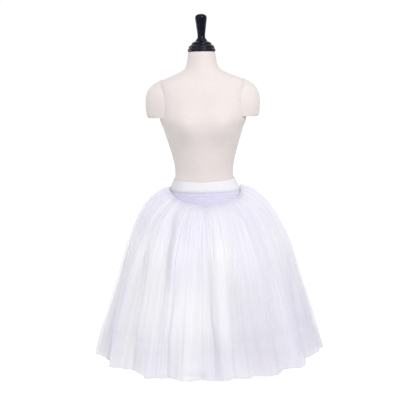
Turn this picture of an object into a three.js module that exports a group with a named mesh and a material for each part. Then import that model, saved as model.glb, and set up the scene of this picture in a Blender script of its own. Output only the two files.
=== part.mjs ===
// Rehearsal skirt on a limbless dress form.
// Millimetres, +Z up. The wearer's front faces -Y, so -X is the wearer's right.
// Origin: centre of the round foot, on the floor.
import * as THREE from 'three';

// ---------------------------------------------------------------- driving sizes
const WAIST_Z = 570;          // height that every table below counts from
const SEAM_GAP = 0.4;         // clear gap between neighbouring pieces

// waistband
const BAND_TOP_SIDE = 107;    // band's top edge at the sides, from WAIST_Z
const BAND_TOP_FRONT = 100;   // and at the centre front and back
const BAND_BOTTOM_SIDE = 72;
const BAND_BOTTOM_FRONT = 70;
const BAND_WALL = 1.6;

// yoke (basque)
const YOKE_WALL = 1.0;
const SEAM_FRONT = 16.5;      // height of the net's seam at the centre front and back
const SEAM_RISE = 33.5;       // how much higher it is at the sides
const SEAM_POWER = 0.7;       // under 1: a soft V rather than a round dip
const SEAM_LEAN = 0.1;        // more of it on the wearer's left
const SEAM_SOFT = 8;          // degrees of rounding at the point of the V
const YOKE_TURN_UNDER = 30;   // yoke below the seam, which carries the inner layers

// net layers
const NET_WALL = 1.2;
const NET_START = 2.0;        // middle of a layer's top edge, off the yoke's face
const HEM_Z = -514;           // lowest hem, from WAIST_Z
const HEM_HALF_WIDTH = 413;
const HEM_HALF_DEPTH = 345;
const PUFF_FRONT = 2;         // height that the gathers stand above the seam
const PUFF_SIDE = 30;
const PUFF_FROM = 36;         // degrees from the centre where the puff starts to rise
const PUFF_LEAN = 16;         // more of them on the wearer's left, fewer on the right
const PUFF_FULL = 84;         // and where it is at its side height
const PUFF_CREST = 6;         // more height on the wearer's left, beyond its top
const SIDE_LEAN = 0.028;      // wearer's left stands out more at mid height
const STEPS_PER_FOLD = 2;     // columns from one fold line to the next

// dress form and stand
const FORM_COLUMNS = 40;
const CAP_BOTTOM = 322;
const CAP_EDGE = 2.0;
const CAP_GAP = 1.6;          // between a cap and the body, for their facets
const CAP_ROWS = 9;
const CAP_COLUMNS = 13;
const NECK_AXIS_Y = 14;
const BUST = { x: 68, z: 290, wide: 54, high: 52, out: 21 };
const FORM_BASE = -110;
const POLE_RADIUS = 13;
const FLANGE_RADIUS = 42;
const FOOT_RADIUS = 155;
const FOOT_TOP = 22;

// Net layers, outermost first. hem: rise of its hem. fold: share of the fold depth.
const LAYERS = [
  { name: 'net_layer_1', depth: 0, hem: 0, fold: 1.0, rows: 12 },
  { name: 'net_layer_2', depth: 1, hem: 6, fold: 0.95, rows: 8 },
  { name: 'net_layer_3', depth: 2, hem: 11, fold: 0.85, rows: 8 },
  { name: 'net_layer_4', depth: 3, hem: 18, fold: 0.7, rows: 8 },
];

// Section of a layer from the seam (t = 0) to the hem (t = 1).
// out: share of the way out to the hem. drop: share of the way down to it.
// puff: share of the puff's height. hug: share of the body's narrowing that it follows.
// crest: share of PUFF_CREST. in, down: how far the next layer lies inside.
const SECTION = [
  { t: 0.000, out: 0.000, drop: 0.000, puff: 0.00, hug: 0.00, crest: 0.0, in: -1.0, down: 9.0 },
  { t: 0.030, out: 0.008, drop: 0.000, puff: 0.75, hug: 0.85, crest: 0.0, in: -4.0, down: 9.0 },
  { t: 0.055, out: 0.024, drop: 0.000, puff: 1.00, hug: 1.20, crest: 0.1, in: -2.5, down: 9.0 },
  { t: 0.085, out: 0.064, drop: 0.010, puff: 1.06, hug: 1.05, crest: 0.9, in: 0.0, down: 9.0 },
  { t: 0.120, out: 0.141, drop: 0.029, puff: 0.98, hug: 0.60, crest: 1.0, in: 3.5, down: 8.0 },
  { t: 0.170, out: 0.245, drop: 0.064, puff: 0.80, hug: 0.25, crest: 0.3, in: 7.0, down: 6.5 },
  { t: 0.220, out: 0.335, drop: 0.104, puff: 0.60, hug: 0.05, crest: 0.0, in: 9.5, down: 5.0 },
  { t: 0.310, out: 0.441, drop: 0.186, puff: 0.40, hug: 0.00, crest: 0.0, in: 11.5, down: 3.0 },
  { t: 0.430, out: 0.565, drop: 0.308, puff: 0.20, hug: 0.00, crest: 0.0, in: 13.0, down: 1.5 },
  { t: 0.620, out: 0.706, drop: 0.533, puff: 0.10, hug: 0.00, crest: 0.0, in: 14.0, down: 0.5 },
  { t: 0.810, out: 0.860, drop: 0.761, puff: 0.00, hug: 0.00, crest: 0.0, in: 15.0, down: 0.0 },
  { t: 1.000, out: 1.000, drop: 1.000, puff: 0.00, hug: 0.00, crest: 0.0, in: 16.0, down: 0.0 },
];

// Fold lines round the hem: ridges and hollows in turn. at: degrees, 0 at the
// wearer's left, 90 at the back. out: beyond (+) or inside (-) the hem's oval.
// from: where down the cloth the fold starts. lift: how much the hem is raised.
const FOLDS = [
  { at: 0, out: 0, from: 0.30, lift: 0 },
  { at: 14, out: -22, from: 0.35, lift: 3 },
  { at: 27, out: 0, from: 0.25, lift: 5 },
  { at: 40, out: -26, from: 0.20, lift: 3 },
  { at: 53, out: 2, from: 0.30, lift: 4 },
  { at: 64, out: -20, from: 0.40, lift: 1 },
  { at: 76, out: -2, from: 0.20, lift: 0 },
  { at: 86, out: -22, from: 0.25, lift: 2 },
  { at: 97, out: 0, from: 0.35, lift: 0 },
  { at: 109, out: -26, from: 0.20, lift: 5 },
  { at: 121, out: 0, from: 0.30, lift: 3 },
  { at: 134, out: -22, from: 0.25, lift: 1 },
  { at: 146, out: 1, from: 0.40, lift: 6 },
  { at: 161, out: -24, from: 0.30, lift: 2 },
  { at: 178, out: 0, from: 0.30, lift: 0 },
  { at: 204, out: -42, from: 0.25, lift: 6 },
  { at: 219, out: 1, from: 0.35, lift: 9 },
  { at: 229, out: -30, from: 0.25, lift: 9 },
  { at: 240, out: -3, from: 0.20, lift: 6 },
  { at: 249, out: -20, from: 0.30, lift: 4 },
  { at: 260, out: 0, from: 0.15, lift: 0 },
  { at: 267, out: -18, from: 0.10, lift: 1 },
  { at: 277, out: 2, from: 0.20, lift: 0 },
  { at: 291, out: -16, from: 0.25, lift: 2 },
  { at: 302, out: 2, from: 0.15, lift: 1 },
  { at: 310, out: -17, from: 0.30, lift: 3 },
  { at: 319, out: 5, from: 0.25, lift: 2 },
  { at: 334, out: -38, from: 0.30, lift: 4 },
  { at: 343, out: -18, from: 0.30, lift: 5 },
  { at: 352, out: -8, from: 0.35, lift: 2 },
];

// Dress form sections. z: from WAIST_Z. wide, deep: half sizes. back: shift of the
// section's centre towards the back. square: exponent of the oval, 2 for an ellipse.
const FORM = [
  { z: 545, wide: 47.5, deep: 48, back: 14, square: 2.0 },
  { z: 531, wide: 49, deep: 50, back: 13, square: 2.0 },
  { z: 518, wide: 51, deep: 52, back: 12, square: 2.0 },
  { z: 504, wide: 54, deep: 55, back: 11, square: 2.0 },
  { z: 490, wide: 61, deep: 58, back: 10, square: 2.0 },
  { z: 476, wide: 81, deep: 61, back: 9, square: 2.0 },
  { z: 463, wide: 112, deep: 64, back: 8, square: 2.05 },
  { z: 449, wide: 143, deep: 67, back: 7, square: 2.3 },
  { z: 435, wide: 150, deep: 71, back: 5, square: 2.6 },
  { z: 421, wide: 151, deep: 76, back: 3, square: 2.8 },
  { z: 394, wide: 151, deep: 83, back: 1, square: 2.8 },
  { z: 366, wide: 151, deep: 89, back: 0, square: 2.7 },
  { z: 339, wide: 151, deep: 94, back: 0, square: 2.6 },
  { z: 311, wide: 149.5, deep: 97, back: 0, square: 2.5 },
  { z: 283, wide: 139, deep: 96, back: 0, square: 2.3 },
  { z: 255, wide: 131, deep: 93, back: 0, square: 2.2 },
  { z: 227, wide: 123, deep: 89, back: 0, square: 2.1 },
  { z: 199, wide: 115, deep: 85, back: 0, square: 2.05 },
  { z: 171, wide: 108, deep: 82, back: 0, square: 2.0 },
  { z: 142, wide: 103, deep: 79.5, back: 0, square: 2.0 },
  { z: 120, wide: 103, deep: 79, back: 0, square: 2.0 },
  { z: 100, wide: 108, deep: 80.5, back: 0, square: 2.0 },
  { z: 72, wide: 122, deep: 85, back: 0, square: 2.0 },
  { z: 45, wide: 132, deep: 91, back: 0, square: 2.0 },
  { z: 10, wide: 141, deep: 99, back: 0, square: 2.0 },
  { z: -30, wide: 148, deep: 107, back: 0, square: 2.0 },
  { z: -70, wide: 151, deep: 111, back: 0, square: 2.0 },
  { z: -100, wide: 150, deep: 111, back: 0, square: 2.0 },
  { z: -110, wide: 145, deep: 106, back: 0, square: 2.0 },
];

// Shoulder cap, one row for each height. swell: greatest thickness off the body.
// reach: half its depth from front to back.
const CAP = [
  { z: 322, swell: 44.0, reach: 57 },
  { z: 339, swell: 46.0, reach: 59 },
  { z: 366, swell: 48.0, reach: 60 },
  { z: 394, swell: 46.0, reach: 56 },
  { z: 408, swell: 42.0, reach: 51 },
  { z: 421, swell: 36.0, reach: 43 },
  { z: 435, swell: 23.0, reach: 31 },
  { z: 447, swell: 9.0, reach: 17 },
  { z: 452, swell: 4.5, reach: 9 },
];

// Turned neck cap: radius at each height above WAIST_Z.
const NECK_CAP = [
  { z: 545.4, r: 0 }, { z: 545.4, r: 43.5 }, { z: 548, r: 47.6 }, { z: 552, r: 48.7 },
  { z: 556, r: 47.0 }, { z: 564, r: 44.0 }, { z: 569, r: 40.0 }, { z: 575, r: 32.0 },
  { z: 577, r: 28.0 }, { z: 584, r: 18.5 }, { z: 590, r: 14.2 }, { z: 597, r: 13.0 },
  { z: 610, r: 14.0 }, { z: 630, r: 17.0 }, { z: 648, r: 18.7 }, { z: 658, r: 20.2 },
  { z: 664.5, r: 20.2 }, { z: 670, r: 17.2 }, { z: 673.6, r: 11.0 }, { z: 675, r: 0 },
];

// ---------------------------------------------------------------- materials
const cloth = (name, color, roughness) => {
  const m = new THREE.MeshStandardMaterial({ color, roughness, metalness: 0 });
  m.name = name;
  return m;
};
const elastic = () => cloth('elastic', 0xf6f6fa, 0.75);
const mesh = () => cloth('yoke_mesh', 0xdcd9ee, 0.7);
const net = () => cloth('net', 0xefeef6, 0.8);
const cream = () => cloth('form_cloth', 0xf3e8e4, 0.85);
const gloss = () => cloth('turned_cap', 0x1c1c22, 0.25);
const paint = () => cloth('stand_paint', 0xf2f2f0, 0.45);

// ---------------------------------------------------------------- helpers
const RAD = Math.PI / 180;
const mix = (a, b, k) => a + (b - a) * k;

// smooth curve through a table's rows, by the rows' key column
function along(table, key, column, at) {
  const n = table.length;
  const rising = table[n - 1][key] > table[0][key];
  let i = 0;
  while (i < n - 2 && (rising ? at > table[i + 1][key] : at < table[i + 1][key])) i += 1;
  const slope = (j) => {
    const lo = Math.max(j - 1, 0);
    const hi = Math.min(j + 1, n - 1);
    return (table[hi][column] - table[lo][column]) / (table[hi][key] - table[lo][key]);
  };
  const a = table[i];
  const b = table[i + 1];
  const h = b[key] - a[key];
  const k = THREE.MathUtils.clamp((at - a[key]) / h, 0, 1);
  const k2 = k * k;
  const k3 = k2 * k;
  return (2 * k3 - 3 * k2 + 1) * a[column] + (k3 - 2 * k2 + k) * h * slope(i)
    + (3 * k2 - 2 * k3) * b[column] + (k3 - k2) * h * slope(i + 1);
}

// closed solid from rings of points, all with the same count, capped at both ends
function ringSolid(rings) {
  const n = rings[0].length;
  const points = rings.flat();
  const faces = [];
  for (let j = 0; j + 1 < rings.length; j += 1) {
    for (let i = 0; i < n; i += 1) {
      const i2 = (i + 1) % n;
      const [a, b, c, d] = [j * n + i, j * n + i2, (j + 1) * n + i2, (j + 1) * n + i];
      faces.push(a, b, c, a, c, d);
    }
  }
  const centre = (ring) => ring.reduce((s, p) => s.add(p), new THREE.Vector3()).divideScalar(n);
  const top = points.push(centre(rings[0])) - 1;
  const low = points.push(centre(rings[rings.length - 1])) - 1;
  const last = (rings.length - 1) * n;
  for (let i = 0; i < n; i += 1) {
    const i2 = (i + 1) % n;
    faces.push(top, i2, i, low, last + i, last + i2);
  }
  return solid(points, faces);
}

// closed wall between two grids of points (outer and inner), round or open-sided
function wall(outer, inner, round) {
  const rows = outer.length;
  const n = outer[0].length;
  const points = [...outer.flat(), ...inner.flat()];
  const at = (side, j, i) => side * rows * n + j * n + (i % n);
  const faces = [];
  const quad = (a, b, c, d) => faces.push(a, b, c, a, c, d);
  const columns = round ? n : n - 1;
  for (let j = 0; j + 1 < rows; j += 1) {
    for (let i = 0; i < columns; i += 1) {
      quad(at(0, j, i), at(0, j, i + 1), at(0, j + 1, i + 1), at(0, j + 1, i));
      quad(at(1, j, i), at(1, j + 1, i), at(1, j + 1, i + 1), at(1, j, i + 1));
    }
  }
  for (let i = 0; i < columns; i += 1) {
    quad(at(0, 0, i), at(1, 0, i), at(1, 0, i + 1), at(0, 0, i + 1));
    quad(at(0, rows - 1, i), at(0, rows - 1, i + 1), at(1, rows - 1, i + 1), at(1, rows - 1, i));
  }
  if (!round) {
    for (let j = 0; j + 1 < rows; j += 1) {
      quad(at(0, j, 0), at(0, j + 1, 0), at(1, j + 1, 0), at(1, j, 0));
      quad(at(0, j, n - 1), at(1, j, n - 1), at(1, j + 1, n - 1), at(0, j + 1, n - 1));
    }
  }
  return solid(points, faces);
}

// the faces as a geometry, turned so that they point out
function solid(points, faces) {
  let volume = 0;
  const cross = new THREE.Vector3();
  for (let f = 0; f < faces.length; f += 3) {
    const [a, b, c] = [points[faces[f]], points[faces[f + 1]], points[faces[f + 2]]];
    volume += a.dot(cross.crossVectors(b, c));
  }
  const order = volume > 0 ? faces : faces.map((_, k) => faces[k - (k % 3) + 2 - (k % 3)]);
  const geometry = new THREE.BufferGeometry();
  geometry.setAttribute('position', new THREE.Float32BufferAttribute(
    points.flatMap((p) => [p.x, p.y, p.z]), 3));
  geometry.setIndex(order);
  geometry.computeVertexNormals();
  return geometry;
}

function lathe(profile, segments, axisY) {
  const points = profile.map(({ r, z }) => new THREE.Vector2(r, z));
  const geometry = new THREE.LatheGeometry(points, segments);
  geometry.rotateX(Math.PI / 2);
  geometry.translate(0, axisY, 0);
  return geometry;
}

const group = new THREE.Group();
function add(name, geometry, material) {
  const piece = new THREE.Mesh(geometry, material);
  piece.name = name;
  group.add(piece);
  return piece;
}

// ---------------------------------------------------------------- body surface
// half sizes of the form, grown by off, at a height
const bodyWide = (z, off) => along(FORM, 'z', 'wide', z) + off;
const bodyDeep = (z, off) => along(FORM, 'z', 'deep', z) + off;

// a point on the form's section; angle in radians
function bodyPoint(angle, z, off) {
  const power = 2 / along(FORM, 'z', 'square', z);
  const c = Math.cos(angle);
  const s = Math.sin(angle);
  const x = Math.sign(c) * Math.abs(c) ** power * bodyWide(z, off);
  let y = Math.sign(s) * Math.abs(s) ** power * bodyDeep(z, off);
  if (s < 0) {
    for (const side of [-1, 1]) {
      y -= BUST.out * Math.abs(s) * Math.exp(
        -(((x - side * BUST.x) / BUST.wide) ** 2) - ((z - BUST.z) / BUST.high) ** 2);
    }
  }
  return new THREE.Vector3(x, y + along(FORM, 'z', 'back', z), WAIST_Z + z);
}

// side surface of the form at a given depth from front to back
function bodySide(y, z) {
  const square = along(FORM, 'z', 'square', z);
  const share = Math.min(Math.abs(y - along(FORM, 'z', 'back', z)) / bodyDeep(z, 0), 1);
  return bodyWide(z, 0) * (1 - share ** square) ** (1 / square);
}

// degrees from the centre front or back, 0 to 90
const fromCentre = (angle) => Math.acos(Math.min(1, Math.abs(Math.sin(angle)))) / RAD;

const seamZ = (angle) => {
  const away = Math.hypot(fromCentre(angle), SEAM_SOFT) - SEAM_SOFT;
  const power = SEAM_POWER + SEAM_LEAN * Math.cos(angle);
  return SEAM_FRONT + SEAM_RISE * (away / (90 - SEAM_SOFT)) ** power;
};
const bandTop = (angle) => mix(BAND_TOP_SIDE, BAND_TOP_FRONT, Math.sin(angle) ** 2);
const bandBottom = (angle) => mix(BAND_BOTTOM_SIDE, BAND_BOTTOM_FRONT, Math.sin(angle) ** 2);

// ---------------------------------------------------------------- waistband
{
  const columns = 56;
  const off = YOKE_WALL + SEAM_GAP;
  const skin = (more) => [0, 0.5, 1].map((k) => Array.from({ length: columns }, (_, i) => {
    const angle = (i / columns) * 2 * Math.PI;
    return bodyPoint(angle, mix(bandTop(angle), bandBottom(angle), k), more);
  }));
  add('waistband', wall(skin(off + BAND_WALL), skin(off), true), elastic());
}

// ---------------------------------------------------------------- yoke, front and back
for (const [name, first, last] of [['yoke_front', 180, 360], ['yoke_back', 0, 180]]) {
  const columns = 29;
  const shares = [0, 0.34, 0.67, 1];
  const skin = (more) => shares.map((k) => Array.from({ length: columns }, (_, i) => {
    const inset = 0.18;
    const angle = mix(first + inset, last - inset, i / (columns - 1)) * RAD;
    const z = mix(bandBottom(angle) - SEAM_GAP, seamZ(angle) - YOKE_TURN_UNDER, k);
    return bodyPoint(angle, z, more);
  }));
  add(name, wall(skin(SEAM_GAP + YOKE_WALL), skin(SEAM_GAP), false), mesh());
}

// ---------------------------------------------------------------- net layers
// a value of the fold table at an angle in degrees, eased from line to line
function foldAt(degrees, column) {
  const n = FOLDS.length;
  const at = ((degrees % 360) + 360) % 360;
  let i = n - 1;
  while (i > 0 && FOLDS[i].at > at) i -= 1;
  const a = FOLDS[i];
  const b = FOLDS[(i + 1) % n];
  const span = ((b.at - a.at) + 360) % 360;
  const k = (at - a.at) / span;
  return mix(a[column], b[column], (1 - Math.cos(Math.PI * k)) / 2);
}

// middle of a layer's cloth, at an angle in degrees and a share t of its length
function netPoint(layer, degrees, t) {
  const angle = degrees * RAD;
  const c = Math.cos(angle);
  const s = Math.sin(angle);
  const down = layer.depth * along(SECTION, 't', 'down', t);
  const inward = layer.depth * along(SECTION, 't', 'in', t);
  const out = along(SECTION, 't', 'out', t);
  const drop = along(SECTION, 't', 'drop', t);
  const puff = along(SECTION, 't', 'puff', t);
  const hug = along(SECTION, 't', 'hug', t);
  const crest = PUFF_CREST * along(SECTION, 't', 'crest', t) * Math.max(0, c);
  const top = seamZ(angle);
  const rise = mix(PUFF_FRONT, PUFF_SIDE,
    THREE.MathUtils.smoothstep(fromCentre(angle), PUFF_FROM + PUFF_LEAN * Math.cos(angle), PUFF_FULL));
  const hem = HEM_Z + layer.hem + foldAt(degrees, 'lift');
  const z = top + rise * puff + crest - (top - hem) * drop - down;
  const clear = SEAM_GAP + YOKE_WALL + NET_START;
  const seam = top - layer.depth * SECTION[0].down;
  const [wide, deep] = [bodyWide(seam, clear), bodyDeep(seam, clear)];
  const ramp = THREE.MathUtils.smoothstep(t, foldAt(degrees, 'from') - 0.15, 1.15);
  const fold = foldAt(degrees, 'out') * layer.fold * ramp;
  const lean = 1 + SIDE_LEAN * c * Math.sin(Math.PI * THREE.MathUtils.clamp(out, 0, 1)) ** 1.5;
  const loose = inward + (t > 0 ? 0 : layer.depth);
  const above = Math.max(z, seam);
  const a = mix(wide, HEM_HALF_WIDTH, out) * lean + fold - loose - hug * (wide - bodyWide(above, clear));
  const b = mix(deep, HEM_HALF_DEPTH, out) + fold - loose - hug * (deep - bodyDeep(above, clear));
  return new THREE.Vector3(a * c, b * s, WAIST_Z + z);
}

// columns fall on each fold line and between them
const COLUMNS = FOLDS.flatMap((row, i) => {
  const next = FOLDS[(i + 1) % FOLDS.length];
  const span = ((next.at - row.at) + 360) % 360;
  return Array.from({ length: STEPS_PER_FOLD }, (_, k) => row.at + (span * k) / STEPS_PER_FOLD);
});

for (const layer of LAYERS) {
  const all = SECTION.map((row) => row.t);
  const inner = [0, 0.03, 0.07, 0.13, 0.24, 0.43, 0.7, 1];
  const rows = layer.rows === all.length ? all : inner;
  const middle = rows.map((t) => COLUMNS.map((degrees) => netPoint(layer, degrees, t)));
  const n = COLUMNS.length;
  const normal = (j, i) => {
    const round = new THREE.Vector3().subVectors(middle[j][(i + 1) % n], middle[j][(i + n - 1) % n]);
    const up = new THREE.Vector3().subVectors(
      middle[Math.max(j - 1, 0)][i], middle[Math.min(j + 1, rows.length - 1)][i]);
    return round.cross(up).normalize();
  };
  const skin = (side) => middle.map((ring, j) => ring.map((p, i) =>
    p.clone().addScaledVector(normal(j, i), (side * NET_WALL) / 2)));
  add(layer.name, wall(skin(1), skin(-1), true), net());
}

// ---------------------------------------------------------------- dress form
{
  const heights = FORM.map((row) => row.z);
  const rings = heights.map((z) => Array.from({ length: FORM_COLUMNS }, (_, i) =>
    bodyPoint((i / FORM_COLUMNS) * 2 * Math.PI, z, 0)));
  add('form_torso', ringSolid(rings), cream());
}

for (const [name, side] of [['shoulder_cap_left', 1], ['shoulder_cap_right', -1]]) {
  const skin = (outer) => CAP.map((row) => Array.from({ length: CAP_COLUMNS }, (_, i) => {
    const u = -1 + (2 * i) / (CAP_COLUMNS - 1);
    const y = u * row.reach + along(FORM, 'z', 'back', row.z);
    const body = bodySide(y, row.z) + CAP_GAP;
    const swell = CAP_EDGE + (row.swell - CAP_EDGE) * Math.max(0, 1 - Math.abs(u) ** 2.6) ** 0.75;
    return new THREE.Vector3(side * (body + (outer ? swell : 0)), y, WAIST_Z + row.z);
  }));
  add(name, wall(skin(true), skin(false), false), cream());
}

add('neck_cap', lathe(NECK_CAP.map(({ r, z }) => ({ r, z: z + WAIST_Z })), 28, NECK_AXIS_Y), gloss());

// ---------------------------------------------------------------- stand
{
  const under = WAIST_Z + FORM_BASE - SEAM_GAP;
  add('stand_flange', lathe([
    { r: 0, z: under - 20 }, { r: POLE_RADIUS + 5, z: under - 20 },
    { r: POLE_RADIUS + 7, z: under - 12 }, { r: FLANGE_RADIUS, z: under - 5 },
    { r: FLANGE_RADIUS, z: under }, { r: 0, z: under },
  ], 24, 0), paint());
  add('stand_pole', lathe([
    { r: 0, z: FOOT_TOP + SEAM_GAP }, { r: POLE_RADIUS, z: FOOT_TOP + SEAM_GAP },
    { r: POLE_RADIUS, z: under - 20 - SEAM_GAP }, { r: 0, z: under - 20 - SEAM_GAP },
  ], 24, 0), paint());
  add('stand_foot', lathe([
    { r: 0, z: 0 }, { r: FOOT_RADIUS - 3, z: 0 }, { r: FOOT_RADIUS, z: 3 },
    { r: FOOT_RADIUS, z: 7 }, { r: FOOT_RADIUS - 5, z: 10 }, { r: 60, z: 14 },
    { r: 26, z: 18 }, { r: 22, z: FOOT_TOP }, { r: 0, z: FOOT_TOP },
  ], 40, 0), paint());
}

export default group;
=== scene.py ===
# Rehearsal skirt on a limbless dress form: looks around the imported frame. Metres, +Z up.
import math

import bpy
import numpy as np
from mathutils import Matrix, Vector


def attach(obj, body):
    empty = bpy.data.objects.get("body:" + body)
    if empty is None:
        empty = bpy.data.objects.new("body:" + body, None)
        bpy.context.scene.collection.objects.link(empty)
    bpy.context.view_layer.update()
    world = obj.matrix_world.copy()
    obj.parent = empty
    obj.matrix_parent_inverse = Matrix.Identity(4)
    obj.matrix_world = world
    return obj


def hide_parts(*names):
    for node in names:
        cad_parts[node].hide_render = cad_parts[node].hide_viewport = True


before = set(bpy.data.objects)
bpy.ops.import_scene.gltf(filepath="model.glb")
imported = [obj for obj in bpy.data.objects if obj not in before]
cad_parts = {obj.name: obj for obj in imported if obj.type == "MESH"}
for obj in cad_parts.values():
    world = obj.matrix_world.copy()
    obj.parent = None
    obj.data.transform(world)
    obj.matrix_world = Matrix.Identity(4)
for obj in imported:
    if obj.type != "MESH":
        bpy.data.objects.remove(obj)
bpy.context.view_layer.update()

scene = bpy.context.scene
MM = 0.001

# ------------------------------------------------------------------ camera, floor, light
AIM = Vector((0.0, 0.0, 0.570))
DISTANCE, PITCH, ROLL = 2.90, math.radians(8.0), math.radians(1.2)


def make_camera():
    forward = Vector((0, math.cos(PITCH), -math.sin(PITCH)))
    level_up = Vector((0, math.sin(PITCH), math.cos(PITCH)))
    right = Vector((math.cos(ROLL), 0, 0)) - level_up * math.sin(ROLL)
    up = level_up * math.cos(ROLL) + Vector((math.sin(ROLL), 0, 0))
    data = bpy.data.cameras.new("camera")
    data.sensor_width = 36.0
    data.lens = 70.69
    data.dof.use_dof = False
    cam = bpy.data.objects.new("camera", data)
    scene.collection.objects.link(cam)
    m = Matrix((right, up, -forward)).transposed().to_4x4()
    m.translation = AIM - forward * DISTANCE + right * 0.01065
    cam.matrix_world = m
    scene.camera = cam


make_camera()


def area_light(name, at, to, size, power, colour=(1, 1, 1)):
    data = bpy.data.lights.new(name, "AREA")
    data.shape = "RECTANGLE"
    data.size, data.size_y = size
    data.energy = power
    data.color = colour
    lamp = bpy.data.objects.new(name, data)
    scene.collection.objects.link(lamp)
    lamp.location = at
    lamp.rotation_mode = "QUATERNION"
    lamp.rotation_quaternion = (Vector(to) - Vector(at)).to_track_quat("-Z", "Y")
    return lamp


area_light("key", (1.1, -2.55, 2.65), (0, 0, 0.66), (1.5, 1.5), 82, (1.0, 0.99, 0.985))
area_light("fill", (-2.2, -2.2, 1.5), (0, 0, 0.5), (1.8, 1.8), 13, (0.97, 0.98, 1.0))
area_light("rim left", (-2.5, 0.9, 0.55), (0, 0, 0.30), (1.3, 0.9), 20, (1.0, 0.995, 1.0))
area_light("rim right", (2.5, 0.9, 0.55), (0, 0, 0.30), (1.3, 0.9), 3, (1.0, 0.995, 1.0))

world = bpy.data.worlds.new("studio")
world.use_nodes = True
dome = world.node_tree.nodes["Background"]
dome.inputs["Color"].default_value = (1, 1, 1, 1)
dome.inputs["Strength"].default_value = 0.74
paper = world.node_tree.nodes.new("ShaderNodeBackground")
paper.inputs["Color"].default_value = (1, 1, 1, 1)
paper.inputs["Strength"].default_value = 1.02
rays = world.node_tree.nodes.new("ShaderNodeLightPath")
seen = world.node_tree.nodes.new("ShaderNodeMixShader")
world.node_tree.links.new(rays.outputs["Is Camera Ray"], seen.inputs[0])
world.node_tree.links.new(dome.outputs[0], seen.inputs[1])
world.node_tree.links.new(paper.outputs[0], seen.inputs[2])
world.node_tree.links.new(seen.outputs[0], world.node_tree.nodes["World Output"].inputs["Surface"])
scene.world = world
scene.view_settings.view_transform = "Standard"
scene.view_settings.look = "None"
scene.cycles.transparent_max_bounces = 40
scene.cycles.max_bounces = 8
scene.cycles.diffuse_bounces = 3
scene.cycles.glossy_bounces = 2
scene.cycles.transmission_bounces = 6
scene.cycles.sample_clamp_indirect = 4.0


# ------------------------------------------------------------------ material helpers
class Tree:
    """A small wrapper that makes node trees short to write."""

    def __init__(self, name):
        self.mat = bpy.data.materials.new(name)
        self.mat.use_nodes = True
        self.t = self.mat.node_tree
        self.t.nodes.clear()
        self.out = self.t.nodes.new("ShaderNodeOutputMaterial")

    def new(self, kind, **settings):
        n = self.t.nodes.new("ShaderNode" + kind)
        for k, v in settings.items():
            setattr(n, k, v)
        return n

    def link(self, a, b):
        self.t.links.new(a, b)

    def put(self, socket, value):
        if isinstance(value, bpy.types.NodeSocket):
            self.link(value, socket)
        else:
            socket.default_value = value

    def math(self, op, a, b=0.0, c=0.0, clamp=False):
        n = self.new("Math", operation=op, use_clamp=clamp)
        for s, v in zip(n.inputs, (a, b, c)):
            self.put(s, v)
        return n.outputs[0]

    def noise(self, vector, scale, detail=2.0, rough=0.5):
        n = self.new("TexNoise")
        self.put(n.inputs["Vector"], vector)
        n.inputs["Scale"].default_value = scale
        n.inputs["Detail"].default_value = detail
        n.inputs["Roughness"].default_value = rough
        return n.outputs[0]

    def scaled(self, vector, by):
        n = self.new("VectorMath", operation="MULTIPLY")
        self.put(n.inputs[0], vector)
        n.inputs[1].default_value = by
        return n.outputs[0]

    def split(self, vector):
        n = self.new("SeparateXYZ")
        self.put(n.inputs[0], vector)
        return n.outputs

    def mix_colour(self, k, a, b):
        n = self.new("Mix", data_type="RGBA")
        self.put(n.inputs["Factor"], k)
        self.put(n.inputs[6], a)
        self.put(n.inputs[7], b)
        return n.outputs[2]

    def remap(self, value, a, b, c, d):
        n = self.new("MapRange")
        self.put(n.inputs[0], value)
        for s, v in zip(n.inputs[1:5], (a, b, c, d)):
            s.default_value = v
        return n.outputs[0]

    def bump(self, height, strength, distance):
        n = self.new("Bump")
        n.inputs["Strength"].default_value = strength
        n.inputs["Distance"].default_value = distance
        self.put(n.inputs["Height"], height)
        return n.outputs[0]


def cloth_uv(tree):
    n = tree.new("UVMap")
    n.uv_map = "cloth"
    return n.outputs[0]


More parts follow.
